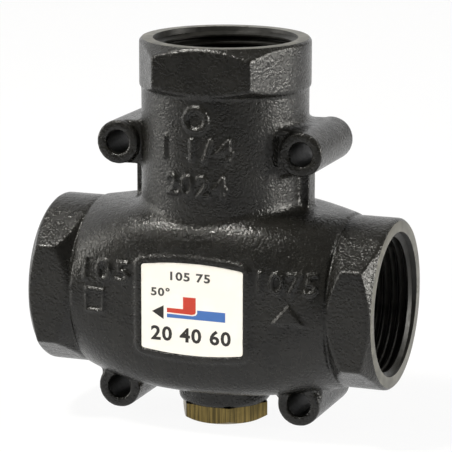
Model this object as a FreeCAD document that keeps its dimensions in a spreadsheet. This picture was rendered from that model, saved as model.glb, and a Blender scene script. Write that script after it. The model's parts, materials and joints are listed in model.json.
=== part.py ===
# Thermostatic three-way mixing valve, DN32, all ports with Rp 1 1/4 internal threads.
# Origin: centre of the bottom face of the brass plug.  +X runs to the cold port,
# -Y is the face with the rating label, +Z runs up to the hot port.  Sizes in mm.
import FreeCAD, Part
import math
import os
import re

import Sketcher
from FreeCAD import Placement, Rotation, Vector

SIZES = [
    # the casting, outside
    ("port_span", 105.0),            # face to face of the two side ports
    ("axis_height", 38.0),           # underside of the plug to the side ports' axis
    ("top_port_rise", 75.0),         # side ports' axis to the face of the top port
    ("collar_width", 50.0),          # across the flats of the three hexagon collars
    ("collar_face_d", 47.7),         # machined ring at the mouth of each port
    ("collar_chamfer_angle", 30.0),
    ("side_collar_length", 13.6),
    ("side_collar_back_angle", 46.0),
    ("top_collar_length", 14.0),
    ("top_collar_turn", 4.0),        # its hexagon stands this much round from the side ports' line
    ("top_collar_back_angle", 26.0),
    ("neck_d", 48.8),
    ("neck_blend", 3.0),
    ("pipe_d", 48.2),                # plain pipe that runs through from collar to collar
    ("belly_swell", 2.8),            # the belly stands out this much beyond the neck, all round
    ("belly_taper", 1.7),            # and draws in this much where it stops short of the collars
    ("belly_squareness", 6.0),       # 2 would be round, more is boxier
    ("boss_d", 27.2),
    ("boss_edge", 1.2),
    ("plug_head_height", 5.2),
    # the four fixing lugs
    ("lug_spacing_across", 56.0),
    ("lug_spacing_up", 73.4),
    ("lug_centre_rise", 8.0),        # middle of the four lugs above the side ports' axis
    ("lug_d", 12.8),
    ("lug_hole_d", 7.0),
    ("lug_length", 29.4),
    ("lug_web_setback", 2.2),
    ("lug_web_flare", 5.0),          # lower webs widen this much towards the boss
    ("lug_blend", 1.6),
    ("rib_width", 6.0),
    ("rib_reach", 53.6),             # over both ribs that run down from the upper lugs
    # label pad on the front
    ("label_width", 31.0),
    ("label_height", 24.6),
    ("label_bow", 1.2),              # rise of the arched upper and lower edges
    ("label_corner", 0.8),
    ("label_rise", 0.1),             # middle of the label above the side ports' axis
    ("label_thickness", 0.25),
    ("label_gap", 0.3),
    ("pad_stand", 0.3),              # front of the pad beyond the belly
    ("pad_rim", 1.6),
    ("pad_recess", 0.45),
    ("pad_corner", 2.4),
    # the casting, inside
    ("thread_d", 41.91),             # major diameter of the port threads
    ("thread_depth", 17.0),
    ("thread_lead_in", 0.1),
    ("wall", 4.8),
    ("passage_d", 38.6),
    ("partition", 4.0),
    ("partition_reach", 38.8),       # between the inner faces of the partition's upright walls
    ("valve_seat_rise", -3.7),       # lip of the cold seat above the side ports' axis
    ("valve_seat_lip", 0.8),
    ("valve_seat_lip_width", 1.7),
    ("valve_seat_bore", 27.0),
    ("neck_bore", 36.8),
    ("cage_bore", 38.3),
    ("cage_rise", 36.0),             # shoulder for the cage above the side ports' axis
    ("clip_groove_d", 40.4),
    # bottom plug
    ("plug_across_flats", 24.0),
    ("plug_turn", 22.0),             # how far its front corner points off the label's face
    ("plug_chamfer", 2.0),           # its corners are turned back this much below, half as much above
    ("plug_undercut", 1.0),          # depth of the O-ring's groove behind the head
    ("plug_lead", 1.0),
    ("plug_thread_d", 20.9),
    ("plug_shank_length", 9.4),
    ("plug_spigot_d", 9.4),
    ("plug_spigot_length", 4.4),
    ("plug_o_ring_wire", 1.5),
    ("socket_depth", 6.0),
    ("pad_thickness", 0.8),
    # wax element
    ("piston_d", 4.0),
    ("piston_length", 19.2),
    ("piston_ease", 0.4),
    ("guide_d", 10.0),
    ("guide_length", 11.8),
    ("guide_lead", 1.0),
    ("guide_flange_d", 18.0),
    ("guide_flange", 1.4),
    ("diaphragm_thickness", 0.8),
    ("cup_d", 14.0),
    ("cup_length", 23.0),
    ("cup_wall", 0.9),
    ("cup_flange_d", 20.0),
    ("cup_flange", 1.5),
    ("cup_roll", 0.6),               # thickness of the edge rolled over the guide's flange
    ("cup_roll_lap", 1.0),
    ("cup_crown_ease", 1.0),
    ("stem_d", 5.0),
    ("stem_length", 9.5),
    ("stem_root", 2.0),
    ("stem_ease", 0.5),
    ("wax_gap", 0.2),                # below the stem's root
    # cold side disc, its seal and spring
    ("travel", 7.0),
    ("rest_gap", 0.3),
    ("disc_d", 32.4),
    ("disc_thickness", 1.2),
    ("disc_rim", 1.4),
    ("seal_thickness", 1.5),
    ("seal_width", 3.0),
    ("main_spring_d", 24.6),
    ("main_spring_wire", 1.6),
    ("main_spring_turns", 4.5),
    # cage with the hot seat
    ("cage_height", 20.0),           # underside of the foot ring to the hot seat
    ("cage_ring_height", 4.0),
    ("cage_seat_bore", 25.0),
    ("cage_seat_ease", 0.6),
    ("cage_foot_d", 27.2),
    ("cage_foot_thickness", 1.8),
    ("cage_leg_d", 35.6),
    ("cage_leg_inner_d", 30.6),
    ("cage_leg_width", 5.0),
    ("cage_leg_count", 3),
    ("cage_o_ring_wire", 1.6),
    ("cage_groove_width", 1.92),
    ("cage_foot_step", 2.0),         # the legs' roots overlap the foot ring by this much
    ("clip_thickness", 1.2),
    ("clip_width", 2.6),
    ("clip_ear", 4.6),
    ("clip_ear_hole", 2.0),
    ("clip_ear_angle", 6.0),         # middle of each ear from the edge of the opening
    ("clip_ear_inset", 0.8),
    ("clip_opening_angle", 34.0),
    # hot side disc and its over-travel spring
    ("bypass_disc_d", 29.0),
    ("bypass_disc_thickness", 1.2),
    ("bypass_disc_ease", 0.4),
    ("bypass_hub_draft", 1.0),
    ("bypass_hub_d", 11.0),
    ("bypass_hub_depth", 0.4),
    ("bypass_spring_d", 11.6),
    ("bypass_spring_wire", 1.0),
    ("bypass_spring_turns", 3.0),
    ("stem_clip_d", 9.6),
    ("stem_clip_thickness", 0.8),
    # clearances between mating pieces
    ("running_gap", 0.08),
    ("fit_gap", 0.05),
]
VALUES = dict(SIZES)
ORIGIN = Vector(0, 0, 0)
UP = Vector(0, 0, 1)

doc = FreeCAD.newDocument("mixing_valve")


def fill_sheet():
    """Write every driving size to the spreadsheet, one named cell each."""
    sheet = doc.addObject("Spreadsheet::Sheet", "sizes")
    for row, (name, value) in enumerate(SIZES, 1):
        sheet.set("A%d" % row, name)
        sheet.set("B%d" % row, str(value))
        sheet.setAlias("B%d" % row, name)
    doc.recompute()
    return sheet


sheet = fill_sheet()


def size(name):
    """A driving size, read back from the sheet."""
    return float(sheet.get(name))


def bound(text):
    """The same formula with each size's name pointing at its cell in the sheet."""
    def cell(word):
        return "sizes." + word.group() if word.group() in VALUES else word.group()
    return re.sub(r"[a-z_][a-z_0-9]*", cell, text)


def bind(thing, **formulas):
    """Tie properties of an object to formulas in the sizes."""
    for prop, text in formulas.items():
        thing.setExpression(prop, bound(text))
    return thing


def place(thing, x=None, y=None, z=None, axis=None, angle=0):
    """Turn an object about an axis and tie its position to formulas."""
    if axis is not None:
        thing.Placement = Placement(ORIGIN, Rotation(axis, angle))
    for letter, text in (("x", x), ("y", y), ("z", z)):
        if text is not None:
            thing.setExpression("Placement.Base." + letter, bound(text))
    return thing


def cylinder(name, d, length):
    return bind(doc.addObject("Part::Cylinder", name), Radius="(%s) / 2" % d, Height=length)


def box(name, length, width, height):
    return bind(doc.addObject("Part::Box", name), Length=length, Width=width, Height=height)


def fuse(name, pieces):
    joined = doc.addObject("Part::MultiFuse", name)
    joined.Shapes = pieces
    joined.Refine = True
    return joined


def common(name, pieces):
    overlap = doc.addObject("Part::MultiCommon", name)
    overlap.Shapes = pieces
    return overlap


def cut(name, base, tool):
    rest = doc.addObject("Part::Cut", name)
    rest.Base = base
    rest.Tool = tool
    return rest


def rounded(name, base, edges, radius):
    """Round the chosen edges of a finished shape."""
    soft = doc.addObject("Part::Fillet", name)
    soft.Base = base
    soft.Edges = [(number, radius, radius) for number in edges]
    return soft


def edges_where(thing, test):
    """Numbers of the edges of an object that pass a test."""
    doc.recompute()
    return [i for i, edge in enumerate(thing.Shape.Edges, 1) if test(edge)]


def origin_feature(body, role):
    return next(f for f in body.Origin.OriginFeatures if f.Role == role)


def outline(body, name, role, corners):
    """A closed sketch with straight sides, each corner tied to two formulas."""
    sketch = body.newObject("Sketcher::SketchObject", name)
    sketch.AttachmentSupport = [(origin_feature(body, role), "")]
    sketch.MapMode = "FlatFace"
    count = len(corners)
    spots = [Vector(10 * i + 1, i * i + 1, 0) for i in range(count)]
    for i in range(count):
        sketch.addGeometry(Part.LineSegment(spots[i], spots[(i + 1) % count]))
    for i in range(count):
        sketch.addConstraint(Sketcher.Constraint("Coincident", i, 2, (i + 1) % count, 1))
    for i, corner in enumerate(corners):
        for kind, text in zip(("DistanceX", "DistanceY"), corner):
            number = sketch.addConstraint(Sketcher.Constraint(kind, -1, 1, i, 1, 1.0))
            sketch.setExpression("Constraints[%d]" % number, bound(text))
    return sketch


def turned(name, corners):
    """A PartDesign body turned about Z from corners given as (radius, height)."""
    body = doc.addObject("PartDesign::Body", name)
    turn = body.newObject("PartDesign::Revolution", name + "_turn")
    turn.Profile = outline(body, name + "_profile", "XZ_Plane", corners)
    turn.ReferenceAxis = (origin_feature(body, "Z_Axis"), [""])
    turn.Angle = 360
    body.Tip = turn
    return body


def padded(name, role, corners, thickness):
    """A PartDesign body padded both ways from a sketch on one of its planes."""
    body = doc.addObject("PartDesign::Body", name)
    pad = body.newObject("PartDesign::Pad", name + "_pad")
    pad.Profile = outline(body, name + "_profile", role, corners)
    pad.SideType = "Symmetric"
    bind(pad, Length=thickness)
    body.Tip = pad
    return body


# ---------------------------------------------------------------- the casting, outside

BELLY = "(neck_d + 2 * belly_swell)"             # across the belly, same in depth and height
FRONT = "(%s / 2 + pad_stand)" % BELLY           # pad's front from the ports' plane


def belly_width():
    return size("neck_d") + 2 * size("belly_swell")


def section_corner(share, reach):
    """Half width and squareness of the belly at a share of its way out to the collars."""
    swell = 1 - share * share
    half = reach[1] / 2 + (reach[0] - reach[1]) / 2 * swell
    return half, 2 + (size("belly_squareness") - 2) * swell ** 1.5


def belly_section(x, half, power):
    """Closed smooth curve |y|^p + |z|^p = half^p across the port axis at x."""
    steps = 32
    points = []
    for step in range(steps):
        angle = 2 * math.pi * step / steps
        spread = abs(math.cos(angle)) ** power + abs(math.sin(angle)) ** power
        radius = half / spread ** (1 / power)
        points.append(Vector(x, radius * math.cos(angle), radius * math.sin(angle)))
    curve = Part.BSplineCurve()
    curve.interpolate(points, PeriodicFlag=True)
    return Part.Wire([curve.toShape()])


def belly(name, length, middle_width, end_d):
    """Barrel that runs from round at its ends to nearly square in the middle."""
    sections = []
    count = 9
    for step in range(count):
        share = 2 * step / (count - 1) - 1
        half, power = section_corner(share, (middle_width, end_d))
        sections.append(belly_section(share * length / 2, half, power))
    solid = doc.addObject("Part::Feature", name)
    solid.Shape = Part.makeLoft(sections, True, False)
    return place(solid, z="axis_height")


def collar(name, length, back_angle, root_d):
    """Hexagon collar, mouth at z = 0 and running down, turned to a cone at both ends."""
    hexagon = doc.addObject("Part::Prism", name + "_hexagon")
    hexagon.Polygon = 6
    bind(hexagon, Circumradius="collar_width / 2 / cos(30)", Height=length)
    place(hexagon, z="-(%s)" % length)
    at_parting = edges_where(hexagon, lambda e: abs(e.CenterOfMass.y) < 0.01 and e.Length > 1
                             and abs(e.tangentAt(e.FirstParameter).z) > 0.99)
    soft = rounded(name + "_rounded", hexagon, at_parting, size("collar_width") / 2)
    rim = "collar_width / 2 / cos(30) + 1"
    blank = turned(name + "_blank", [
        ("0", "0"),
        ("collar_face_d / 2", "0"),
        (rim, "-(%s - collar_face_d / 2) * tan(collar_chamfer_angle)" % rim),
        (rim, "-%s + (%s - %s / 2) * tan(%s)" % (length, rim, root_d, back_angle)),
        (root_d + " / 2", "-" + length),
        ("0", "-" + length)])
    return common(name, [soft, blank])


def side_collar(name, side):
    ring = collar(name, "side_collar_length", "side_collar_back_angle", "pipe_d")
    return place(ring, x="%d * port_span / 2" % side, z="axis_height",
                 axis=Vector(0, 1, 0), angle=90 * side)


def trunk():
    """Neck standing on the belly, with a cast radius where they meet."""
    neck = place(cylinder("neck", "neck_d", "top_port_rise - top_collar_length / 2"),
                 z="axis_height")
    swell = belly("belly", size("port_span") - 2 * size("side_collar_length"),
                  belly_width(), belly_width() - 2 * size("belly_taper"))
    joined = fuse("neck_and_belly", [neck, swell])
    radius = size("neck_d") / 2
    foot = size("axis_height") + 1
    top = size("axis_height") + size("top_port_rise") - size("top_collar_length") / 2 - 1

    def at_foot(edge):
        spots = [edge.valueAt(edge.getParameterByLength(edge.Length * k)) for k in (0.1, 0.5, 0.9)]
        return all(abs(math.hypot(p.x, p.y) - radius) < 0.01 and foot < p.z < top for p in spots)
    return rounded("neck_blended", joined, edges_where(joined, at_foot), size("neck_blend"))


def lug(name, side, top):
    """Fixing lug, a short post along Y with a flared web that ties it to the casting."""
    x = "%d * lug_spacing_across / 2" % side
    z = "axis_height + lug_centre_rise + %d * lug_spacing_up / 2" % top
    post = place(cylinder(name + "_post", "lug_d", "lug_length"), x=x, y="lug_length / 2", z=z,
                 axis=Vector(1, 0, 0), angle=90)
    if top > 0:
        inner = "%d * (neck_d / 2 - wall)" % side
        corners = [(x, "%s + lug_d / 2" % z), (x, "%s - lug_d / 2" % z),
                   (inner, "%s - lug_d / 2" % z), (inner, "%s + lug_d / 2" % z)]
    else:
        root = "axis_height - %s / 2 + wall" % BELLY
        corners = [("%s - %d * lug_d / 2" % (x, side), z), ("%s + %d * lug_d / 2" % (x, side), z),
                   ("%s + %d * lug_d / 2" % (x, side), root),
                   ("%s - %d * (lug_d / 2 + lug_web_flare)" % (x, side), root)]
    web = padded(name + "_web", "XZ_Plane", corners, "lug_length - 2 * lug_web_setback")
    return fuse(name, [post, web])


def lug_hole(name, side, top):
    hole = cylinder(name, "lug_hole_d", "lug_length + 2")
    return place(hole, x="%d * lug_spacing_across / 2" % side, y="lug_length / 2 + 1",
                 z="axis_height + lug_centre_rise + %d * lug_spacing_up / 2" % top,
                 axis=Vector(1, 0, 0), angle=90)


def boss():
    """Round boss under the belly that the brass plug screws into."""
    post = place(cylinder("boss_post", "boss_d", "axis_height - plug_head_height"),
                 z="plug_head_height")
    foot = size("plug_head_height")
    rim = edges_where(post, lambda e: abs(e.BoundBox.ZMax - foot) < 0.01)
    return rounded("boss", post, rim, size("boss_edge"))


def ribs():
    """Parting line rib under the two upper lugs."""
    return place(box("ribs", "rib_reach", "rib_width", "lug_centre_rise + lug_spacing_up / 2 - wall"),
                 x="-rib_reach / 2", y="-rib_width / 2", z="axis_height + wall")


def bowed_plate(name, grow, corner, y_back, y_front):
    """Upright plate with arched upper and lower edges, grown outward from the label's outline."""
    width = "label_width + 2 * (%s)" % grow
    half = "(label_height / 2 + label_bow + %s)" % grow
    bend = "(label_width ^ 2 / 4 + label_bow ^ 2) / (2 * label_bow)"
    depth = "%s - (%s)" % (y_back, y_front)
    slab = place(box(name + "_slab", width, depth, "2 * " + half), x="-(%s) / 2" % width,
                 y=y_front, z="axis_height + label_rise - " + half)
    arches = [slab]
    for word, way in (("upper", 1), ("lower", -1)):
        arch = cylinder("%s_%s_arch" % (name, word), "2 * " + bend, depth + " + 2")
        place(arch, y=y_back + " + 1", axis=Vector(1, 0, 0), angle=90,
              z="axis_height + label_rise + %d * (%s - %s)" % (way, half, bend))
        arches.append(arch)
    plate = common(name + "_plate", arches)
    upright = edges_where(plate, lambda e: abs(e.tangentAt(e.FirstParameter).y) > 0.99)
    soft = rounded(name, plate, upright, corner)
    return soft


def blend_limbs(limbs):
    """Cast radius where the upper lugs and the ribs spring from the neck."""
    radius = size("neck_d") / 2
    low = size("axis_height") + belly_width() / 2 + size("neck_blend")
    high = size("axis_height") + size("lug_centre_rise") + size("lug_spacing_up") / 2 + size("lug_d")

    def on_neck(edge):
        spots = [edge.valueAt(edge.getParameterByLength(edge.Length * k)) for k in (0.1, 0.5, 0.9)]
        return all(abs(math.hypot(p.x, p.y) - radius) < 0.01 and low < p.z < high for p in spots)
    return rounded("limbs_blended", limbs, edges_where(limbs, on_neck), size("lug_blend"))


def casting_outside():
    lugs = [lug("lug_%s_%s" % (up, across), side, top)
            for up, top in (("upper", 1), ("lower", -1))
            for across, side in (("left", -1), ("right", 1))]
    pipe = place(cylinder("pipe", "pipe_d", "port_span - side_collar_length"),
                 x="-(port_span - side_collar_length) / 2", z="axis_height",
                 axis=Vector(0, 1, 0), angle=90)
    top_collar = place(collar("top_collar", "top_collar_length", "top_collar_back_angle",
                              "neck_d"), z="axis_height + top_port_rise",
                       axis=UP, angle=size("top_collar_turn"))
    pad = bowed_plate("label_pad", "label_gap + pad_rim", size("pad_corner"),
                      "-%s / 2 + wall" % BELLY, "-" + FRONT)
    limbs = blend_limbs(fuse("trunk_and_limbs", [trunk(), ribs()] + lugs))
    return fuse("casting_outside", [limbs, pipe, top_collar, side_collar("right_collar", 1),
                                    side_collar("left_collar", -1), boss(), pad])


# ---------------------------------------------------------------- the casting, inside

def partition():
    """Cranked wall between the cold and mixed chambers, with the lip of the cold seat."""
    inner = "partition_reach / 2"
    outer = "(partition_reach / 2 + partition)"
    deck = "axis_height + valve_seat_rise - valve_seat_lip"
    high = "axis_height + %s / 2" % BELLY
    low = "axis_height - %s / 2" % BELLY
    web = padded("partition_web", "XZ_Plane", [
        (inner, high),
        (outer, high),
        (outer, deck + " - partition"),
        ("-" + inner, deck + " - partition"),
        ("-" + inner, low),
        ("-" + outer, low),
        ("-" + outer, deck),
        (inner, deck)], BELLY)
    lip = place(cylinder("seat_lip", "valve_seat_bore + 2 * valve_seat_lip_width",
                         "valve_seat_lip + partition / 2"), z=deck + " - partition / 2")
    bore = place(cylinder("seat_bore", "valve_seat_bore", "2 * partition + valve_seat_lip"),
                 z=deck + " - 1.5 * partition")
    return cut("partition", fuse("partition_and_lip", [web, lip]), bore)


def port_thread(name):
    """Bore of one port at the thread's major diameter, mouth at z = 0 and running down."""
    flare = "(thread_d / 2 + thread_lead_in)"
    return turned(name, [("0", "1"), (flare + " + 1", "1"), ("thread_d / 2", "-thread_lead_in"),
                         ("thread_d / 2", "-thread_depth"), ("0", "-thread_depth")])


def side_thread(name, side):
    return place(port_thread(name), x="%d * port_span / 2" % side, z="axis_height",
                 axis=Vector(0, 1, 0), angle=90 * side)


def casting_inside():
    """Everything that is hollow: chambers round the partition, bores, threads and groove."""
    inner_length = size("port_span") - 2 * size("thread_depth") + 1
    chamber = belly("chamber", inner_length, belly_width() - 2 * size("wall"),
                    size("passage_d"))
    throat = place(cylinder("throat", "neck_bore", "cage_rise - wall"), z="axis_height + wall")
    rooms = cut("chambers", fuse("open_rooms", [chamber, throat]), partition())
    shoulder = "axis_height + cage_rise"
    top = "axis_height + top_port_rise"
    well = place(cylinder("cage_well", "cage_bore", "top_port_rise - cage_rise - 1"), z=shoulder)
    groove = place(cylinder("clip_groove", "clip_groove_d", "clip_thickness + fit_gap"),
                   z=shoulder + " + cage_ring_height")
    plug_bore = place(cylinder("plug_bore", "plug_thread_d + 2 * fit_gap", "wall + boss_d / 2"),
                      z="plug_head_height - 1")
    o_ring_bed = place(cylinder("plug_o_ring_bed", "plug_thread_d + 2 * plug_o_ring_wire + 4 * fit_gap",
                                "plug_o_ring_wire + 1"), z="plug_head_height - 1")
    threads = [side_thread("right_thread", 1), side_thread("left_thread", -1),
               place(port_thread("top_thread"), z=top)]
    return fuse("casting_inside", [rooms, well, groove, plug_bore, o_ring_bed] + threads)


def valve_body():
    holes = [lug_hole("hole_%s_%s" % (up, across), side, top)
             for up, top in (("upper", 1), ("lower", -1))
             for across, side in (("left", -1), ("right", 1))]
    recess = bowed_plate("label_recess", "label_gap", size("label_corner") + size("label_gap"),
                         "-%s + pad_recess" % FRONT, "-%s - 1" % FRONT)
    hollow = fuse("hollow", [casting_inside(), recess] + holes)
    return cut("valve_body", casting_outside(), hollow)


def rating_label():
    """Thin plate stuck in the recess of the pad."""
    floor = "-%s + pad_recess" % FRONT
    return bowed_plate("rating_label", "0", size("label_corner"), floor,
                       floor + " - label_thickness")


# ---------------------------------------------------------------- bottom plug

def bottom_plug():
    """Hexagon brass plug with a threaded shank and a spigot that holds the piston's end."""
    circle = "plug_across_flats / 2 / cos(30)"
    hexagon = doc.addObject("Part::Prism", "plug_hexagon")
    hexagon.Polygon = 6
    bind(hexagon, Circumradius=circle, Height="plug_head_height")
    place(hexagon, axis=UP, angle=30 + size("plug_turn"))
    rim = circle + " + 1"
    blank = turned("plug_blank", [
        ("0", "0"),
        ("%s - plug_chamfer" % circle, "0"),
        (rim, "(plug_chamfer + 1) * tan(30)"),
        (rim, "plug_head_height - (plug_chamfer / 2 + 1) * tan(30)"),
        ("%s - plug_chamfer / 2" % circle, "plug_head_height"),
        ("0", "plug_head_height")])
    head = common("plug_head", [hexagon, blank])
    shoulder = "plug_head_height + plug_shank_length"
    tip = shoulder + " + plug_spigot_length"
    shank = turned("plug_shank", [
        ("0", "plug_head_height - 1"),
        ("plug_thread_d / 2 - plug_undercut", "plug_head_height - 1"),
        ("plug_thread_d / 2 - plug_undercut", "plug_head_height + plug_o_ring_wire"),
        ("plug_thread_d / 2", "plug_head_height + plug_o_ring_wire"),
        ("plug_thread_d / 2", shoulder + " - plug_lead"),
        ("plug_thread_d / 2 - plug_lead", shoulder),
        ("plug_spigot_d / 2", shoulder),
        ("plug_spigot_d / 2", tip),
        ("piston_d / 2 + fit_gap", tip),
        ("piston_d / 2 + fit_gap", tip + " - socket_depth"),
        ("0", tip + " - socket_depth")])
    return fuse("bottom_plug", [head, shank])


def socket_floor():
    """Height of the bottom of the socket in the plug's spigot."""
    return "plug_head_height + plug_shank_length + plug_spigot_length - socket_depth"


def plug_o_ring():
    wire = "plug_o_ring_wire / 2"
    ring = doc.addObject("Part::Torus", "plug_o_ring")
    bind(ring, Radius1="plug_thread_d / 2 - plug_undercut + %s + fit_gap" % wire, Radius2=wire)
    return place(ring, z="plug_head_height + " + wire)


# ---------------------------------------------------------------- wax element

def disc_underside():
    """Height of the underside of the cold disc's seal with the valve closed."""
    return "axis_height + valve_seat_rise + rest_gap"


def flange_top():
    return disc_underside() + " + seal_thickness"


def piston_pad():
    return place(cylinder("piston_pad", "piston_d", "pad_thickness"), z=socket_floor())


def piston():
    """Hardened pin that the wax pushes out of the guide, with eased ends."""
    foot = socket_floor() + " + pad_thickness"
    ease = "piston_ease"
    return turned("piston", [
        ("0", foot), ("piston_d / 2 - " + ease, foot), ("piston_d / 2", foot + " + " + ease),
        ("piston_d / 2", foot + " + piston_length - " + ease),
        ("piston_d / 2 - " + ease, foot + " + piston_length"), ("0", foot + " + piston_length")])


def guide_top():
    return flange_top() + " - cup_flange - diaphragm_thickness"


def element_guide():
    """Brass guide that the piston slides in, flanged where the cup is rolled over it."""
    top = guide_top()
    bore = "piston_d / 2 + fit_gap"
    return turned("element_guide", [
        (bore, top + " - guide_flange - guide_length"),
        ("guide_d / 2 - guide_lead", top + " - guide_flange - guide_length"),
        ("guide_d / 2", top + " - guide_flange - guide_length + guide_lead"),
        ("guide_d / 2", top + " - guide_flange"),
        ("guide_flange_d / 2", top + " - guide_flange"),
        ("guide_flange_d / 2", top),
        (bore, top)])


def element_diaphragm():
    """Rubber diaphragm between wax and piston, with a plug that rides in the guide."""
    top = flange_top() + " - cup_flange"
    end = socket_floor() + " + pad_thickness + piston_length"
    return turned("element_diaphragm", [
        ("0", end), ("piston_d / 2", end), ("piston_d / 2", guide_top()),
        ("guide_flange_d / 2", guide_top()), ("guide_flange_d / 2", top), ("0", top)])


def element_cup():
    """Drawn cup that holds the wax; its flange carries the cold disc and is rolled over."""
    top = flange_top()
    skirt = guide_top() + " - guide_flange"
    crown = top + " + cup_length"
    return turned("element_cup", [
        ("cup_d / 2 - cup_wall", top + " - cup_flange"),
        ("guide_flange_d / 2", top + " - cup_flange"),
        ("guide_flange_d / 2", skirt),
        ("guide_flange_d / 2 - cup_roll_lap", skirt),
        ("guide_flange_d / 2 - cup_roll_lap", skirt + " - cup_roll"),
        ("cup_flange_d / 2 - cup_roll * 2 / 3", skirt + " - cup_roll"),
        ("cup_flange_d / 2", skirt + " - cup_roll / 3"),
        ("cup_flange_d / 2", top),
        ("cup_d / 2", top),
        ("cup_d / 2", crown + " - cup_crown_ease"),
        ("cup_d / 2 - cup_crown_ease", crown),
        ("stem_d / 2 - fit_gap", crown),
        ("stem_d / 2 - fit_gap", crown + " - cup_wall"),
        ("cup_d / 2 - cup_wall", crown + " - cup_wall")])


def wax_charge():
    floor = flange_top() + " - cup_flange"
    crown = flange_top() + " + cup_length - cup_wall"
    radius = "cup_d / 2 - cup_wall - fit_gap"
    return turned("wax_charge", [
        ("0", floor), (radius, floor), (radius, crown + " - fit_gap"),
        ("stem_d / 2 + fit_gap", crown + " - fit_gap"),
        ("stem_d / 2 + fit_gap", crown + " - stem_root"), ("0", crown + " - stem_root")])


def bypass_stem():
    """Pin riveted into the cup's crown; the hot disc slides on it."""
    crown = flange_top() + " + cup_length"
    tip = crown + " + stem_length"
    neck = "stem_d / 2 - stem_clip_thickness"
    clip = stem_clip_height()
    return turned("bypass_stem", [
        ("0", crown + " - cup_wall - stem_root + wax_gap"),
        ("stem_d / 2", crown + " - cup_wall - stem_root + wax_gap"),
        ("stem_d / 2", crown + " - cup_wall - fit_gap"),
        ("stem_d / 2 - 2 * fit_gap", crown + " - cup_wall - fit_gap"),
        ("stem_d / 2 - 2 * fit_gap", crown),
        ("stem_d / 2", crown),
        ("stem_d / 2", clip),
        (neck, clip),
        (neck, clip + " + stem_clip_thickness + fit_gap"),
        ("stem_d / 2", clip + " + stem_clip_thickness + fit_gap"),
        ("stem_d / 2", tip + " - stem_ease"),
        ("stem_d / 2 - stem_ease", tip),
        ("0", tip)])


# ---------------------------------------------------------------- cold disc and main spring

def main_disc():
    """Pressed disc that sits on the cup's flange and closes the cold port."""
    low = flange_top()
    high = low + " + disc_thickness"
    return turned("main_disc", [
        ("cup_d / 2 + running_gap", low), ("disc_d / 2", low), ("disc_d / 2", high + " + disc_rim"),
        ("disc_d / 2 - disc_thickness", high + " + disc_rim"),
        ("disc_d / 2 - disc_thickness", high), ("cup_d / 2 + running_gap", high)])


def main_disc_seal():
    """Flat rubber ring under the cold disc."""
    middle = "(valve_seat_bore / 2 + valve_seat_lip_width / 2)"
    inner = middle + " - seal_width / 2"
    outer = middle + " + seal_width / 2"
    low = disc_underside()
    return turned("main_disc_seal", [(inner, low), (outer, low), (outer, flange_top()),
                                     (inner, flange_top())])


def coil_spring(name, wire, coil_d, low, high, turns):
    """Compression spring with one closed turn at each end, wound as a single swept wire."""
    rise = high - low - wire
    free_turns = turns
    total = free_turns + 2
    steps = int(total * 16)
    points = []
    for step in range(steps + 1):
        turn = total * step / steps
        flat = wire * 1.04
        share = min(max((turn - 1) / free_turns, 0), 1)
        ends = min(turn, 1) + max(turn - free_turns - 1, 0)
        height = flat * ends + (rise - 2 * flat) * share
        angle = 2 * math.pi * turn
        points.append(Vector(coil_d / 2 * math.cos(angle), coil_d / 2 * math.sin(angle), height))
    path = Part.BSplineCurve()
    path.interpolate(points)
    ring = Part.Wire([Part.Circle(points[0], path.tangent(path.FirstParameter)[0],
                                  wire / 2).toShape()])
    spring = doc.addObject("Part::Feature", name)
    spring.Shape = Part.Wire([path.toShape()]).makePipeShell([ring], True, True)
    spring.Placement = Placement(Vector(0, 0, low + wire / 2), Rotation())
    return spring


def height_of(*names):
    return sum(size(name) for name in names)


def main_spring():
    low = height_of("axis_height", "valve_seat_rise", "rest_gap", "seal_thickness",
                    "disc_thickness")
    high = height_of("axis_height", "cage_rise") - size("cage_height")
    return coil_spring("main_spring", size("main_spring_wire"), size("main_spring_d"),
                       low, high, size("main_spring_turns") - 2)


# ---------------------------------------------------------------- cage and hot seat

def cage_foot():
    return "axis_height + cage_rise - cage_height"


def seat_cage():
    """One piece: the hot seat ring, three legs and the foot ring that the spring bears on."""
    shoulder = "axis_height + cage_rise"
    top = shoulder + " + cage_ring_height"
    outer = "cage_bore / 2 - fit_gap"
    bed = "%s - cage_o_ring_wire - fit_gap" % outer
    waist = shoulder + " + cage_ring_height / 2"
    ring = turned("cage_ring", [
        ("cage_seat_bore / 2 + cage_seat_ease", shoulder),
        ("neck_bore / 2 - fit_gap", shoulder), (outer, shoulder),
        (outer, waist + " - cage_groove_width / 2"),
        (bed, waist + " - cage_groove_width / 2"),
        (bed, waist + " + cage_groove_width / 2"),
        (outer, waist + " + cage_groove_width / 2"),
        (outer, top), ("cage_seat_bore / 2 + cage_seat_ease", top),
        ("cage_seat_bore / 2", top + " - cage_seat_ease"),
        ("cage_seat_bore / 2", shoulder + " + cage_seat_ease")])
    foot_ring = turned("cage_foot_ring", [
        ("cup_d / 2 + running_gap", cage_foot()), ("cage_foot_d / 2", cage_foot()),
        ("cage_foot_d / 2", cage_foot() + " + cage_foot_thickness"),
        ("cup_d / 2 + running_gap", cage_foot() + " + cage_foot_thickness")])
    leg = padded("cage_leg", "XZ_Plane", [
        ("cage_foot_d / 2 - cage_foot_step", cage_foot()), ("cage_leg_d / 2", cage_foot()),
        ("cage_leg_d / 2", shoulder + " + 1"), ("cage_leg_inner_d / 2", shoulder + " + 1"),
        ("cage_leg_inner_d / 2", cage_foot() + " + cage_foot_thickness"),
        ("cage_foot_d / 2 - cage_foot_step", cage_foot() + " + cage_foot_thickness")], "cage_leg_width")
    legs = leg.newObject("PartDesign::PolarPattern", "cage_legs")
    legs.Originals = [doc.getObject("cage_leg_pad")]
    legs.Axis = (origin_feature(leg, "Z_Axis"), [""])
    legs.Angle = 360
    bind(legs, Occurrences="cage_leg_count")
    leg.Tip = legs
    return fuse("seat_cage", [ring, foot_ring, leg])


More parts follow.
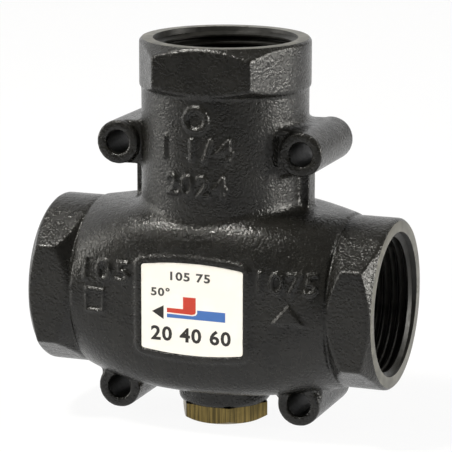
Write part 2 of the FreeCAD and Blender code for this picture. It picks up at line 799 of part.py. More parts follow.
def cage_o_ring():
    wire = "cage_o_ring_wire / 2"
    ring = doc.addObject("Part::Torus", "cage_o_ring")
    bind(ring, Radius1="cage_bore / 2 - %s - fit_gap" % wire, Radius2=wire)
    return place(ring, z="axis_height + cage_rise + cage_ring_height / 2")


def retaining_ring():
    """Spring steel ring in the groove above the cage, with an ear and hole at each end."""
    level = "axis_height + cage_rise + cage_ring_height"
    outer = "clip_groove_d / 2 - fit_gap"
    inner = "clip_groove_d / 2 - clip_width"
    band = turned("clip_band", [(inner, level), (outer, level), (outer, level + " + clip_thickness"),
                                (inner, level + " + clip_thickness")])
    gap = doc.addObject("Part::Cylinder", "clip_opening")
    bind(gap, Radius="clip_groove_d", Height="clip_thickness + 2", Angle="clip_opening_angle")
    place(gap, z=level + " - 1", axis=UP, angle=90 - size("clip_opening_angle") / 2)
    pieces = [cut("clip_arc", band, gap)]
    holes = []
    for word, way in (("left", 1), ("right", -1)):
        turn = 90 + way * (size("clip_opening_angle") / 2 + size("clip_ear_angle"))
        across = "(clip_groove_d / 2 - clip_ear / 2 - clip_ear_inset)"
        spot = {"x": "%s * cos(%g)" % (across, turn), "y": "%s * sin(%g)" % (across, turn)}
        pieces.append(place(cylinder("clip_ear_" + word, "clip_ear", "clip_thickness"), z=level,
                            **spot))
        holes.append(place(cylinder("clip_hole_" + word, "clip_ear_hole", "clip_thickness + 2"),
                           z=level + " - 1", **spot))
    return cut("retaining_ring", fuse("clip_and_ears", pieces), fuse("clip_holes", holes))


# ---------------------------------------------------------------- hot disc

def bypass_top():
    """Height of the top of the hot disc with the valve at rest, one travel below its seat."""
    return "axis_height + cage_rise - travel - rest_gap"


def bypass_disc():
    """Pressed disc that slides on the stem and closes the hot seat at full travel."""
    top = bypass_top()
    low = top + " - bypass_disc_thickness"
    hole = "stem_d / 2 + running_gap"
    return turned("bypass_disc", [
        (hole, low), ("bypass_disc_d / 2 - bypass_disc_ease", low),
        ("bypass_disc_d / 2", low + " + bypass_disc_ease"),
        ("bypass_disc_d / 2", top), ("bypass_hub_d / 2 + bypass_hub_draft", top),
        ("bypass_hub_d / 2", top + " - bypass_hub_depth"), (hole, top + " - bypass_hub_depth")])


def stem_clip_height():
    return bypass_top() + " - bypass_hub_depth"


def stem_clip():
    """Push-on ring in the stem's groove that keeps the hot disc on."""
    inner = "stem_d / 2 - stem_clip_thickness + fit_gap"
    low = stem_clip_height()
    high = low + " + stem_clip_thickness"
    ring = turned("stem_clip_ring", [(inner, low), ("stem_clip_d / 2", low),
                                     ("stem_clip_d / 2", high), (inner, high)])
    mouth = place(box("stem_clip_mouth", "stem_clip_d", inner + " * 1.6", "stem_clip_thickness + 2"),
                  y="-%s * 0.8" % ("(" + inner + ")"), z=low + " - 1")
    return cut("stem_clip", ring, mouth)


def bypass_spring():
    low = height_of("axis_height", "valve_seat_rise", "rest_gap", "seal_thickness", "cup_length")
    high = (height_of("axis_height", "cage_rise") - size("travel") - size("rest_gap")
            - size("bypass_disc_thickness"))
    return coil_spring("bypass_spring", size("bypass_spring_wire"), size("bypass_spring_d"),
                       low, high, size("bypass_spring_turns") - 2)


def write_parts(pieces):
    """Check every object of the document and write one file for each piece."""
    doc.recompute()
    failed = [o.Name for o in doc.Objects if {"Invalid", "Error"} & set(o.State)]
    if failed:
        raise RuntimeError("these did not build: " + ", ".join(failed))
    os.makedirs("parts", exist_ok=True)
    for piece in pieces:
        if piece.Shape.isNull() or not piece.Shape.isValid():
            raise RuntimeError(piece.Label + " has no sound shape")
    for piece in pieces:
        piece.Shape.exportStep("parts/%s.step" % piece.Label)
        print("%-18s solids %d  volume %9.1f" % (piece.Label, len(piece.Shape.Solids),
                                               piece.Shape.Volume))


write_parts([
    valve_body(), rating_label(), bottom_plug(), plug_o_ring(), piston_pad(), piston(),
    element_guide(), element_diaphragm(), element_cup(), wax_charge(), bypass_stem(),
    main_disc(), main_disc_seal(), main_spring(), seat_cage(), cage_o_ring(), retaining_ring(),
    bypass_disc(), stem_clip(), bypass_spring()])
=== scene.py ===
# Thermostatic three-way mixing valve: a painted iron casting with three threaded ports, a
# label, a brass bottom plug and the wax element inside.  Metres, +Z up along the hot port,
# +X out of the cold port, -Y out of the labelled front.
import json
import math

import bmesh
import bpy
from mathutils import Matrix, Quaternion, Vector
from mathutils.bvhtree import BVHTree

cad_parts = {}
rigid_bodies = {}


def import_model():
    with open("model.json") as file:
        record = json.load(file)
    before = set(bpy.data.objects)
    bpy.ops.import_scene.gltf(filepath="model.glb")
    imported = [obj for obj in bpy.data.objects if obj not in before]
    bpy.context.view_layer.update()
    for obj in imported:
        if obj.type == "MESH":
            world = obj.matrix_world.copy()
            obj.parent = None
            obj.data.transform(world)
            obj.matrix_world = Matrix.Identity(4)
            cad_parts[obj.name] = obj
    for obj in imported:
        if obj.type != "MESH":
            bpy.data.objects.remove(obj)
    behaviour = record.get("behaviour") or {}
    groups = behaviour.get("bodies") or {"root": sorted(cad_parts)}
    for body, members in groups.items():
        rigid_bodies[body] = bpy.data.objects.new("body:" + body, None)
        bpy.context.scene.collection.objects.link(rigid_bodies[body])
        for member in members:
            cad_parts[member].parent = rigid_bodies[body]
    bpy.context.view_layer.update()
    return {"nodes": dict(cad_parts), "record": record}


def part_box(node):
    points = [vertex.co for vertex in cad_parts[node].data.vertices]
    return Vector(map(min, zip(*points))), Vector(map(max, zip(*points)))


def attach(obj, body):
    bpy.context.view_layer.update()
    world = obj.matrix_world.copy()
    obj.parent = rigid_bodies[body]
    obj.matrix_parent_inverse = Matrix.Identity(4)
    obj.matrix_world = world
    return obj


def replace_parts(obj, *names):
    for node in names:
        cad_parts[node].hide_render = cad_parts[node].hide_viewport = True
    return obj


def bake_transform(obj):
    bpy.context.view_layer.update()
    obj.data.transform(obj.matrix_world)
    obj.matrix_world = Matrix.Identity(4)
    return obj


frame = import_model()
nodes = frame["nodes"]


# ------------------------------------------------------------------------- casting, outside
# Grey iron poured in a sand mould with raised numbers and flow marks, then shot blasted.
# Every edge is soft, the skin is grainy, and stock is left on the port faces and the boss.
mm = 0.001
mounts = {mount["name"]: mount for mount in frame["record"]["mounts"]}
port_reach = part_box("valve_body")[1].x
port_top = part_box("valve_body")[1].z
port_axis = mounts["cold_port"]["pos_m"][2]
boss_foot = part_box("plug_o_ring")[0].z
thread_radius = mounts["cold_port"]["dims"]["r_mm"] * mm
mouth_radius = thread_radius + 0.2 * mm
bed_radius = 12.2 * mm               # hole in the boss's face, round the plug's O-ring
turned_reach = 25 * mm               # farthest point of a turned face from its middle
ports = {"cold": (Vector((port_reach, 0, port_axis)), Vector((1, 0, 0))),
         "mixed": (Vector((-port_reach, 0, port_axis)), Vector((-1, 0, 0))),
         "hot": (Vector((0, 0, port_top)), Vector((0, 0, 1)))}
turned_faces = dict(ports, boss=(Vector((0, 0, boss_foot)), Vector((0, 0, -1))))
facing_stock = {"cold": 0.4 * mm, "mixed": 0.4 * mm, "hot": 0.4 * mm, "boss": 1.0 * mm}
grain = 0.36 * mm


def is_rim(edge):
    """True for an edge of the casting where a turned hole meets a face outside."""
    def on_rim(p):
        from_neck_axis = math.hypot(p.x, p.y)
        at_side_port = (abs(abs(p.x) - port_reach) < 1e-5
                        and math.hypot(p.y, p.z - port_axis) < mouth_radius)
        at_top_port = abs(p.z - port_top) < 1e-5 and from_neck_axis < mouth_radius
        at_boss = abs(p.z - boss_foot) < 1e-5 and from_neck_axis < bed_radius
        return at_side_port or at_top_port or at_boss
    return all(on_rim(vert.co) for vert in edge.verts)


def parted(source, keep_hollow):
    """The casting's hollow or its outside as a closed mesh, and the caps over its rims."""
    inside = Vector((0, thread_radius, port_top - 5 * mm))
    shape = bmesh.new()
    shape.from_mesh(source)
    bmesh.ops.remove_doubles(shape, verts=shape.verts, dist=1e-6)
    start = min(shape.faces, key=lambda f: (f.calc_center_median() - inside).length)
    found, border = {start}, [start]
    while border:
        for edge in border.pop().edges:
            for beside in edge.link_faces:
                if beside not in found and not is_rim(edge):
                    found.add(beside)
                    border.append(beside)
    unwanted = [f for f in shape.faces if (f in found) != keep_hollow]
    bmesh.ops.delete(shape, geom=unwanted, context="FACES")
    rims = [e for e in shape.edges if e.is_boundary]
    caps = bmesh.ops.holes_fill(shape, edges=rims, sides=0)["faces"]
    bmesh.ops.recalc_face_normals(shape, faces=shape.faces)
    return shape, caps


def placed(thing, name):
    """A mesh or bmesh as an object in the scene."""
    if isinstance(thing, bmesh.types.BMesh):
        mesh = bpy.data.meshes.new(name)
        thing.to_mesh(mesh)
        thing.free()
        thing = mesh
    made = bpy.data.objects.new(name, thing)
    bpy.context.scene.collection.objects.link(made)
    return made


def settled(obj):
    """The object's mesh with its modifiers worked out; the object itself goes."""
    bpy.context.view_layer.update()
    mesh = bpy.data.meshes.new_from_object(obj.evaluated_get(bpy.context.evaluated_depsgraph_get()))
    bpy.data.objects.remove(obj)
    return mesh


def turned(profile, steps=96):
    """A closed solid with (radius, height) points turned about Z, as a bmesh."""
    shape = bmesh.new()
    rings = []
    for radius, height in profile:
        if radius == 0:
            rings.append([shape.verts.new((0, 0, height))] * steps)
            continue
        angles = [2 * math.pi * k / steps for k in range(steps)]
        rings.append([shape.verts.new((radius * math.cos(a), radius * math.sin(a), height))
                      for a in angles])
    for ring, above in zip(rings, rings[1:] + rings[:1]):
        for k in range(steps):
            after = (k + 1) % steps
            corners = list(dict.fromkeys([ring[k], ring[after], above[after], above[k]]))
            if len(corners) > 2:
                shape.faces.new(corners)
    bmesh.ops.recalc_face_normals(shape, faces=shape.faces)
    return shape


def letters(words, tall, wide, bold=0.012):
    """Words of the given height, stretched to a width, one unit thick."""
    curve = bpy.data.curves.new("words", "FONT")
    curve.body = words
    curve.size = 1
    curve.space_character = 1.12
    curve.offset = bold
    curve.extrude = 0.5
    curve.resolution_u = 3
    mesh = settled(placed(curve, "words"))
    shape = bmesh.new()
    shape.from_mesh(mesh)
    bmesh.ops.remove_doubles(shape, verts=shape.verts, dist=1e-4)
    low = [min(v.co[i] for v in shape.verts) for i in (0, 1)]
    high = [max(v.co[i] for v in shape.verts) for i in (0, 1)]
    for vert in shape.verts:
        vert.co.x = (vert.co.x - (low[0] + high[0]) / 2) * wide / (high[0] - low[0])
        vert.co.y = (vert.co.y - (low[1] + high[1]) / 2) * tall / (high[1] - low[1])
    bmesh.ops.recalc_face_normals(shape, faces=shape.faces)
    return shape


def plate(corners):
    """Flat shape with the given corners, one unit thick."""
    shape = bmesh.new()
    back, front = ([shape.verts.new((x, y, z)) for x, y in corners] for z in (-0.5, 0.5))
    shape.faces.new(back[::-1])
    shape.faces.new(front)
    for k in range(len(corners)):
        after = (k + 1) % len(corners)
        shape.faces.new((back[k], back[after], front[after], front[k]))
    return shape


def frame_of(wide, tall, stroke):
    """Upright rectangular outline, one unit thick."""
    half = math.sqrt(0.5)
    shape = turned([(half - stroke, -0.5), (half, -0.5), (half, 0.5), (half - stroke, 0.5)], 4)
    turn = Matrix.Rotation(math.radians(45), 4, "Z")
    bmesh.ops.transform(shape, matrix=Matrix.Diagonal((wide, tall, 1, 1)) @ turn, verts=shape.verts)
    return shape


def cast_marks():
    """Raised numbers and flow marks, laid on the front of the casting."""
    proud, sunk = 0.78 * mm, 0.7 * mm
    skin = BVHTree.FromObject(nodes["valve_body"], bpy.context.evaluated_depsgraph_get())
    marks = [
        (turned([(2.5 * mm, -0.5), (3.85 * mm, -0.5), (3.85 * mm, 0.5), (2.5 * mm, 0.5)], 48),
         0.2, 92.6),
        (letters("1 1/4", 6.5 * mm, 21 * mm), 0, 84.0),
        (letters("2024", 6.2 * mm, 18 * mm), 0, 73.6),
        (letters("105", 6.4 * mm, 15 * mm), -26.8, 47.2),
        (letters("1075", 6.2 * mm, 17 * mm), 28.4, 47.8),
        (frame_of(6 * mm, 6.8 * mm, 0.12), -30.4, 38.2),
        (plate([(-4.6 * mm, -2.7 * mm), (4.6 * mm, -2.7 * mm), (0, 2.7 * mm)]), 28.8, 38.8)]
    for shape, x, z in marks:
        for vert in shape.verts:
            spot = Vector((vert.co.x + x * mm, -60 * mm, vert.co.y + z * mm))
            where, way = skin.ray_cast(spot, Vector((0, 1, 0)))[:2]
            vert.co = where + way * (proud if vert.co.z > 0 else -sunk)
        bmesh.ops.recalc_face_normals(shape, faces=shape.faces)
    return [placed(mark[0], "mark") for mark in marks]


def joined(pieces, name):
    """Several objects' meshes as one object; the separate ones go."""
    shape = bmesh.new()
    for piece in pieces:
        shape.from_mesh(piece.data)
        bpy.data.objects.remove(piece)
    return placed(shape, name)


def label_plug(grow, y_back, y_front):
    """A block with the label's outline, grown by a distance, between two depths."""
    shape = bmesh.new()
    shape.from_mesh(nodes["rating_label"].data)
    bmesh.ops.remove_doubles(shape, verts=shape.verts, dist=1e-6)
    low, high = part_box("rating_label")
    middle = (low + high) / 2
    for vert in shape.verts:
        for i in (0, 2):
            share = 1 + 2 * grow / (high[i] - low[i])
            vert.co[i] = middle[i] + (vert.co[i] - middle[i]) * share
        vert.co.y = y_front if vert.co.y < middle.y else y_back
    return placed(shape, "label_plug")


def sanded(blank, cell, softness, share=1.0):
    """The shape with its skin evened out and every edge rounded by about the softness."""
    sand = blank.modifiers.new("sand", "REMESH")
    sand.mode = "VOXEL"
    sand.voxel_size = cell
    sand.use_smooth_shade = True
    soft = blank.modifiers.new("soft", "SMOOTH")
    soft.factor = 0.5
    soft.iterations = round((softness / cell) ** 2)
    if share < 1:
        fewer = blank.modifiers.new("fewer", "DECIMATE")
        fewer.ratio = share
    return placed(settled(blank), "casting")


def raw_casting():
    """The outside as it leaves the sand, with marks, and the pad's front still whole."""
    shape, caps = parted(nodes["valve_body"].data, False)
    for vert in shape.verts:
        for name, (mouth, way) in turned_faces.items():
            if abs((vert.co - mouth).dot(way)) < 1e-5 and (vert.co - mouth).length < turned_reach:
                vert.co += way * facing_stock[name]
    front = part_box("valve_body")[0].y
    pattern = sanded(placed(shape, "skin"), grain, 0.95 * mm)
    pad = label_plug(1.1 * mm, front + 4 * mm, front)
    return sanded(joined([pattern, pad] + cast_marks(), "raw_casting"), grain, 0.43 * mm, 0.42)


# ------------------------------------------------------------------------- casting, machined
# The port faces and the boss are faced off, the ports bored for their threads and the chambers
# cored. The outside carries gloss black paint; port faces and bores are bare iron, the bores
# coloured near black as painted shade.
def material(name, colour, roughness, metal=0.0, shine=0.5):
    """A new material with its main colour and finish set on its own sockets."""
    made = bpy.data.materials.new(name)
    made.use_nodes = True
    face = surface_of(made)
    face.inputs["Base Color"].default_value = (*colour, 1)
    face.inputs["Roughness"].default_value = roughness
    face.inputs["Metallic"].default_value = metal
    face.inputs["Specular IOR Level"].default_value = shine
    return made


def surface_of(made):
    return made.node_tree.nodes["Principled BSDF"]


def add(made, kind, **values):
    """A node in a material; values set its inputs by name, or its properties."""
    node = made.node_tree.nodes.new("ShaderNode" + kind)
    for name, value in values.items():
        socket = name.replace("_", " ")
        if socket in node.inputs:
            node.inputs[socket].default_value = value
        else:
            setattr(node, name, value)
    return node


def wire(made, output, target):
    made.node_tree.links.new(output, target)


def noise(made, size, detail=3.0, stretch=(1, 1, 1)):
    """Noise in the part's own metres with lumps of about the given size."""
    mapping = add(made, "Mapping", Scale=[s / size for s in stretch])
    wire(made, add(made, "TexCoord").outputs["Object"], mapping.inputs["Vector"])
    cloud = add(made, "TexNoise", Scale=1.0, Detail=detail, Roughness=0.5)
    wire(made, mapping.outputs["Vector"], cloud.inputs["Vector"])
    return cloud.outputs["Fac"]


def colours(made, value, low, high, start=0.35, end=0.65):
    """The surface's colour runs between two colours as the value rises."""
    band = add(made, "ValToRGB")
    for element, place, colour in zip(band.color_ramp.elements, (start, end), (low, high)):
        element.position = place
        element.color = (*colour, 1)
    wire(made, value, band.inputs["Fac"])
    wire(made, band.outputs["Color"], surface_of(made).inputs["Base Color"])


def sheen(made, value, low, high):
    """The surface's roughness runs between two values as the value rises."""
    band = add(made, "MapRange", From_Min=0.3, From_Max=0.7, To_Min=low, To_Max=high)
    wire(made, value, band.inputs["Value"])
    wire(made, band.outputs["Result"], surface_of(made).inputs["Roughness"])


def relief(made, layers, easing=0.0):
    """Bump from (height, depth in metres) layers, over edges eased in shading."""
    below = add(made, "Bevel", samples=6, Radius=easing).outputs["Normal"] if easing else None
    for height, depth in layers:
        bump = add(made, "Bump", Strength=1.0, Distance=depth)
        wire(made, height, bump.inputs["Height"])
        if below:
            wire(made, below, bump.inputs["Normal"])
        below = bump.outputs["Normal"]
    wire(made, below, surface_of(made).inputs["Normal"])


def cast_paint():
    paint = material("black_paint", (0.009, 0.0086, 0.0074), 0.28, shine=0.38)
    colours(paint, noise(paint, 9 * mm, 2), (0.0068, 0.0065, 0.0056), (0.011, 0.0105, 0.009))
    sheen(paint, noise(paint, 2.5 * mm, 3), 0.22, 0.33)
    relief(paint, [(noise(paint, 6 * mm, 1), 0.12 * mm), (noise(paint, 0.8 * mm, 1), 0.21 * mm),
                   (noise(paint, 0.45 * mm, 1), 0.11 * mm)])
    return paint


def turned_iron():
    iron = material("turned_iron", (0.13, 0.125, 0.11), 0.46, metal=0.6)
    colours(iron, noise(iron, 3 * mm), (0.10, 0.098, 0.086), (0.165, 0.16, 0.14))
    sheen(iron, noise(iron, 1.5 * mm), 0.42, 0.56)
    relief(iron, [(noise(iron, 0.6 * mm, 2), 0.02 * mm)])
    return iron


# Near-black colour for bores, threads and lug holes: painted shade inside them, over bare iron.
def oily_bore():
    bore = material("oily_bore", (0.010, 0.010, 0.009), 0.38, shine=0.25)
    colours(bore, noise(bore, 3 * mm), (0.007, 0.007, 0.006), (0.015, 0.0145, 0.013))
    sheen(bore, noise(bore, 1.5 * mm), 0.32, 0.48)
    relief(bore, [(noise(bore, 0.8 * mm, 2), 0.04 * mm)])
    return bore


def cutter(thing, name, finish):
    made = placed(thing, name)
    made.data.materials.clear()
    made.data.materials.append(finish)
    return made


def core():
    """The hollow of the casting with its open ends run out past the stock."""
    core_overrun = 2.5 * mm
    shape, caps = parted(nodes["valve_body"].data, True)
    for cap in caps:
        way = cap.normal.copy()
        end = bmesh.ops.extrude_discrete_faces(shape, faces=[cap])["faces"][0]
        for vert in end.verts:
            vert.co += way * core_overrun
    bmesh.ops.recalc_face_normals(shape, faces=shape.faces)
    # The faces this cuts take the near-black bore colour, which is painted shade.
    return cutter(shape, "core", bore_shade)


def facing_cut(name, radius, finish):
    """Disc that takes the stock off one turned face."""
    mouth, way = turned_faces[name]
    deep = 4 * mm
    disc = cutter(turned([(0, 0), (radius, 0), (radius, deep), (0, deep)]), "facing_" + name, finish)
    disc.matrix_world = Matrix.Translation(mouth) @ way.to_track_quat("Z", "Y").to_matrix().to_4x4()
    return disc


def label_bed():
    """Recess in the pad with a clear edge round the label."""
    front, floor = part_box("valve_body")[0].y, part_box("rating_label")[1].y
    bed = label_plug(0.3 * mm, floor, front - 2 * mm)
    bed.data.materials.clear()
    bed.data.materials.append(paint)
    return bed


def machined(blank, tools):
    blank.data.materials.clear()
    blank.data.materials.append(paint)
    for tool in tools:
        bite = blank.modifiers.new(tool.name, "BOOLEAN")
        bite.operation = "DIFFERENCE"
        bite.solver = "MANIFOLD"
        bite.object = tool
        bite.material_mode = "TRANSFER"
    mesh = settled(blank)
    for tool in tools:
        bpy.data.objects.remove(tool)
    for face in mesh.polygons:
        face.use_smooth = True
    mesh.set_sharp_from_angle(angle=math.radians(38))
    return placed(mesh, "casting")


def in_part(piece, body):
    """Tie a piece to a body of the frame."""
    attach(piece, body)
    return piece


def shade_lug_holes():
    """The drilled holes of the four lugs take the near-black bore colour inside, up to near their
    ends, as painted shade.
    """
    lugs = mounts["lugs"]
    half_x = lugs["dims"]["spacing_x_mm"] / 2 * mm
    half_z = lugs["dims"]["spacing_y_mm"] / 2 * mm
    hole_reach, hole_radius = 13.6 * mm, 3.75 * mm
    hole_shade = casting.data.materials.find("oily_bore")
    for face in casting.data.polygons:
        across = abs(face.center.x) - half_x
        up = abs(face.center.z - lugs["pos_m"][2]) - half_z
        if math.hypot(across, up) < hole_radius and abs(face.center.y) < hole_reach:
            # These faces get the near-black bore colour: painted shade in the holes.
            face.material_index = hole_shade


paint = cast_paint()
iron = turned_iron()
bore_shade = oily_bore()
tools = [core(), label_bed(), facing_cut("boss", 15 * mm, paint)]
tools += [facing_cut(name, 30 * mm, iron) for name in ports]
casting = in_part(machined(raw_casting(), tools), "root")
shade_lug_holes()
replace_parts(casting, "valve_body")


# ------------------------------------------------------------------------- port threads
# Internal pipe threads Rp 1 1/4, eleven turns to the inch, cut with a tap in the bare iron.
# Each starts a little inside its mouth and runs out at the end of the bore.
def thread_ridge(first, last, start):
    """Helical ridge between two depths below the mouth, from a start angle, faded at its ends."""
    turns_to_inch, steps = 11, 96
    pitch = 25.4 / turns_to_inch * mm
    crest = 19.5 * mm
    root = thread_radius + 0.05 * mm
    count = int((last - first) / pitch * steps)
    shape = bmesh.new()
    rings = []
    for k in range(count + 1):
        angle = start + 2 * math.pi * k / steps
        depth = -first - pitch * k / steps
        rise = min(1, 4 * k / steps, 4 * (count - k) / steps)
        top = root + (crest - root) * max(rise, 0.02)
        ring = []
        for radius, along in ((root, 0.49), (top, 0.10), (top, -0.10), (root, -0.49)):
            ring.append(shape.verts.new((radius * math.cos(angle), radius * math.sin(angle),
                                         depth + along * pitch)))
        rings.append(ring)
    for ring, after in zip(rings, rings[1:]):
        for i in range(4):
            j = (i + 1) % 4
            shape.faces.new((ring[i], ring[j], after[j], after[i]))
    shape.faces.new(rings[0])
    shape.faces.new(rings[-1][::-1])
    bmesh.ops.recalc_face_normals(shape, faces=shape.faces)
    return shape


for name, (mouth, way) in ports.items():
    upright = way.to_track_quat("Z", "Y")
    front = upright.inverted() @ Vector((0, -1, 0))
    thread = placed(thread_ridge(1.2 * mm, 16.2 * mm, math.atan2(front.y, front.x)),
                    "thread_" + name)
    thread.data.transform(Matrix.Translation(mouth) @ upright.to_matrix().to_4x4())
    # The threads take the near-black bore colour, painted shade inside the ports.
    thread.data.materials.append(bore_shade)
    for face in thread.data.polygons:
        face.use_smooth = True
    thread.data.set_sharp_from_angle(angle=math.radians(30))
    in_part(thread, "root")


# ------------------------------------------------------------------------- label
# Thin printed foil glued into the bed of the pad: plain numbers and a plan of the flow, hot
# coming down into the cold and leaving to the left.
label_wide, label_tall = 31 * mm, 24.6 * mm
ink_bold = 0.03


def foil(name, colour):
    made = material(name, colour, 0.42, shine=0.4)
    tint = [0.96 * c for c in colour]
    colours(made, noise(made, 6 * mm), tint, colour)
    sheen(made, noise(made, 2 * mm), 0.36, 0.46)
    relief(made, [(noise(made, 3 * mm, 1), 0.01 * mm)])
    return made


def dressed(name, finish):
    """A material on a CAD node."""
    nodes[name].data.materials.clear()
    nodes[name].data.materials.append(finish)


def printed(shape, name, u, v, ink):
    """Ink on the label, the shape's middle at shares of its width and height."""
    low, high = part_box("rating_label")
    middle = (low + high) / 2
    film = 0.03 * mm
    for vert in shape.verts:
        vert.co = Vector((middle.x + (u - 0.5) * (high.x - low.x) + vert.co.x,
                          low.y - film if vert.co.z > 0 else low.y + film / 2,
                          middle.z - (v - 0.5) * label_tall + vert.co.y))
    bmesh.ops.recalc_face_normals(shape, faces=shape.faces)
    piece = placed(shape, "print_" + name)
    piece.data.materials.append(ink)
    in_part(piece, "root")


def on_label(*corners):
    """A flat shape with its corners at shares of the label's width and height."""
    return plate([(u * label_wide, -v * label_tall) for u, v in corners])


black = foil("black_ink", (0.022, 0.020, 0.018))
grey = foil("grey_ink", (0.06, 0.057, 0.054))
red = foil("red_ink", (0.55, 0.045, 0.022))
blue = foil("blue_ink", (0.055, 0.155, 0.46))
dressed("rating_label", foil("label_foil", (0.94, 0.91, 0.86)))
printed(letters("105 75", 2.6 * mm, 12.2 * mm, ink_bold), "size", 0.485, 0.115, grey)
printed(letters("50°", 2.6 * mm, 5.8 * mm, ink_bold), "warmth", 0.19, 0.315, grey)
printed(on_label((0.106, 0.555), (0.222, 0.640), (0.222, 0.475)), "arrow", 0, 0, black)
printed(on_label((0.255, 0.500), (0.255, 0.553), (0.50, 0.560), (0.53, 0.55), (0.54, 0.53),
                 (0.54, 0.355), (0.415, 0.355), (0.415, 0.500)), "hot_way", 0, 0, red)
printed(on_label((0.255, 0.570), (0.255, 0.615), (0.83, 0.615), (0.83, 0.500), (0.555, 0.500),
                 (0.555, 0.54), (0.54, 0.565), (0.51, 0.575)), "cold_way", 0, 0, blue)
printed(letters("20 40 60", 4.4 * mm, 24.5 * mm, ink_bold), "scale", 0.49, 0.81, black)


# ------------------------------------------------------------------------- brass parts
# The bottom plug is turned from hexagon bar, its flats left as drawn with long streaks and
# grey stains.  The guide of the wax element and the cage with the hot seat are turned brass.
def brass(name, dull, bright, streak, roughness):
    made = material(name, bright, roughness, metal=1.0)
    lines = noise(made, 1.0 * mm, 3, (1.6, 1.6, 0.08) if streak else (1, 1, 1))
    colours(made, lines, dull, bright, 0.35, 0.62)
    sheen(made, noise(made, 2 * mm, 3), roughness - 0.07, roughness + 0.1)
    relief(made, [(lines, 0.03 * mm)], easing=0.15 * mm)
    return made


def tightened_plug():
    """The plug with the top of its hexagon left square, turned to where it was tightened."""
    within_flats = 11.8 * mm
    shape = bmesh.new()
    shape.from_mesh(nodes["bottom_plug"].data)
    bmesh.ops.remove_doubles(shape, verts=shape.verts, dist=1e-6)
    for vert in shape.verts:
        at_flats = math.hypot(vert.co.x, vert.co.y) > within_flats
        if at_flats and boss_foot / 2 < vert.co.z < boss_foot:
            vert.co.z = boss_foot
    bmesh.ops.rotate(shape, matrix=Matrix.Rotation(math.radians(3), 3, "Z"), verts=shape.verts)
    plug = placed(shape, "plug")
    if "custom_normal" in plug.data.attributes:
        plug.data.attributes.remove(plug.data.attributes["custom_normal"])
    plug.data.set_sharp_from_angle(angle=math.radians(25))
    plug.data.materials.clear()
    plug.data.materials.append(plug_brass)
    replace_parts(in_part(plug, "root"), "bottom_plug")


plug_brass = brass("plug_brass", (0.085, 0.066, 0.028), (0.21, 0.155, 0.055), True, 0.34)
tightened_plug()
turned_brass = brass("turned_brass", (0.40, 0.28, 0.10), (0.60, 0.43, 0.17), False, 0.28)
for name in ("element_guide", "seat_cage"):
    dressed(name, turned_brass)


# ------------------------------------------------------------------------- steel and copper
# Deep drawn copper cup, pressed stainless discs, ground piston, hardened pad and riveted stem;
# the clip and the retaining ring are stamped from spring steel and snap into their grooves.
def steel(name, dull, bright, roughness):
    made = material(name, bright, roughness, metal=1.0)
    colours(made, noise(made, 2.5 * mm, 3), dull, bright)
    sheen(made, noise(made, 1.2 * mm, 2), roughness - 0.05, roughness + 0.1)
    relief(made, [(noise(made, 0.6 * mm, 2), 0.01 * mm)], easing=0.1 * mm)
    return made


dressed("element_cup", steel("drawn_copper", (0.40, 0.20, 0.11), (0.62, 0.33, 0.19), 0.3))
stainless = steel("stainless", (0.42, 0.41, 0.39), (0.58, 0.57, 0.55), 0.26)
for name in ("piston", "piston_pad", "bypass_stem", "main_disc", "bypass_disc"):
    dressed(name, stainless)
wire_steel = steel("spring_steel", (0.20, 0.19, 0.18), (0.34, 0.33, 0.31), 0.34)
for name in ("stem_clip", "retaining_ring"):
    dressed(name, wire_steel)


# ------------------------------------------------------------------------- springs
# Two compression springs coiled from spring wire with closed ends. The main one stands between
# the cold disc and the cage's foot, the small one between the cup and the hot disc.
def live_spring(node):
    """A copy of the coil in spring steel, in place of the CAD node."""
    coil = placed(nodes[node].data.copy(), node.replace("spring", "coil"))
    coil.data.materials.clear()
    coil.data.materials.append(wire_steel)
    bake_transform(coil)
    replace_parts(coil, node)


live_spring("main_spring")
live_spring("bypass_spring")


# ------------------------------------------------------------------------- rubber and wax
# Moulded EPDM O-rings, the flat ring under the cold disc and the element's diaphragm; the
# charge of expanding wax mixed with copper powder fills the cup.
def soft_stuff(name, low, high, roughness):
    made = material(name, high, roughness, shine=0.35)
    colours(made, noise(made, 3 * mm, 3), low, high)
    sheen(made, noise(made, 1 * mm, 3), roughness - 0.08, roughness + 0.08)
    relief(made, [(noise(made, 0.8 * mm, 2), 0.03 * mm)])
    return made


rubber = soft_stuff("rubber", (0.010, 0.010, 0.010), (0.022, 0.021, 0.020), 0.55)
for name in ("plug_o_ring", "cage_o_ring", "main_disc_seal", "element_diaphragm"):
    dressed(name, rubber)
dressed("wax_charge", soft_stuff("wax", (0.42, 0.26, 0.14), (0.56, 0.38, 0.22), 0.5))


# ------------------------------------------------------------------------- studio
# White table top and curved white wall behind it. Small lamps above and at the front give the
# sharp lights, a tall one at each side the broad ones, and the world fills in weakly.
for leftover in [o for o in bpy.data.objects if o.name in ("Cube", "Light", "Camera")]:
    bpy.data.objects.remove(leftover)


def stage_white(name, glow):
    """White that shows as such to camera, glossy and transmission rays by the share glow."""
    made = material(name, (0.9, 0.9, 0.9), 0.9, shine=0.1)
    rays = add(made, "LightPath")
    seen = rays.outputs["Is Camera Ray"]
    for kind in ("Is Glossy Ray", "Is Transmission Ray"):
        either = add(made, "Math", operation="MAXIMUM")
        wire(made, seen, either.inputs[0])
        wire(made, rays.outputs[kind], either.inputs[1])
        seen = either.outputs["Value"]
    share = add(made, "Math", operation="MULTIPLY")
    wire(made, seen, share.inputs[0])
    share.inputs[1].default_value = glow
    mix = add(made, "MixShader")
    wire(made, share.outputs["Value"], mix.inputs[0])
    wire(made, surface_of(made).outputs["BSDF"], mix.inputs[1])
    wire(made, add(made, "Emission", Strength=1.0).outputs["Emission"], mix.inputs[2])
    wire(made, mix.outputs["Shader"], made.node_tree.nodes["Material Output"].inputs["Surface"])
    return made


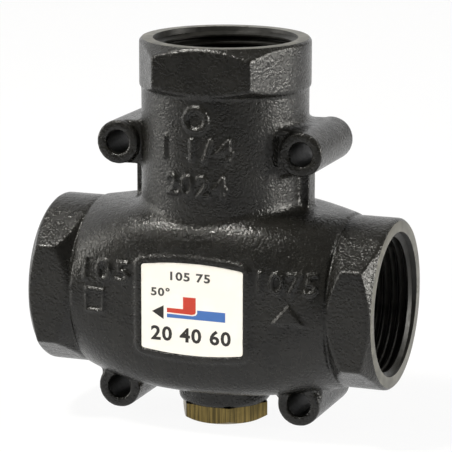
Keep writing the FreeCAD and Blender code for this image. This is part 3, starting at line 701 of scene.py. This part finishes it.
table = plate([(-2.2, -0.30), (2.2, -0.30), (2.2, 2.4), (-2.2, 2.4)])
for vert in table.verts:
    vert.co.z = -0.05 * mm if vert.co.z > 0 else -4 * mm
table = placed(table, "table")
table.data.materials.append(stage_white("table_white", 0.93))
wall = turned([(2.2, -0.01), (2.22, -0.01), (2.22, 2.4), (2.2, 2.4)], 96)
cut_away = [v for v in wall.verts if v.co.y < -0.2 or v.co.x > 0.9]
bmesh.ops.delete(wall, geom=cut_away, context="VERTS")
wall = placed(wall, "wall")
wall.data.materials.append(stage_white("wall_white", 1.0))


def lamp(name, spot, wide, tall, power):
    """A soft lamp that faces the middle of the valve."""
    light = bpy.data.lights.new(name, "AREA")
    light.shape = "RECTANGLE"
    light.size, light.size_y = wide, tall
    light.energy = power
    light.color = (1, 0.975, 0.91)
    made = bpy.data.objects.new(name, light)
    bpy.context.scene.collection.objects.link(made)
    made.location = spot
    made.rotation_euler = (Vector((0, 0, 0.06)) - made.location).to_track_quat("-Z", "Y").to_euler()


lamp("above", (-0.42, -0.32, 1.15), 0.18, 0.18, 17.5)
lamp("key", (-0.52, -1.0, 0.86), 0.15, 0.15, 2.6)
lamp("right", (1.22, 0.24, 0.30), 0.28, 0.60, 16.0)
lamp("left", (-1.2, -0.34, 0.30), 0.4, 0.8, 8.5)

world = bpy.data.worlds.new("surround")
bpy.context.scene.world = world
world.use_nodes = True
world.node_tree.nodes["Background"].inputs["Color"].default_value = (1, 0.98, 0.93, 1)
world.node_tree.nodes["Background"].inputs["Strength"].default_value = 0.17

lens = bpy.data.cameras.new("camera")
lens.sensor_width = 36
lens.lens = 213.0
camera = bpy.data.objects.new("camera", lens)
bpy.context.scene.collection.objects.link(camera)
camera.location = (0.26855, -0.71685, 0.2275)
aim = (Vector((0.00023, 0, 0.05700)) - camera.location).to_track_quat("-Z", "Y")
camera.rotation_euler = (aim @ Quaternion((0, 0, 1), 0.00127)).to_euler()
bpy.context.scene.camera = camera
bpy.context.scene.view_settings.view_transform = "Standard"
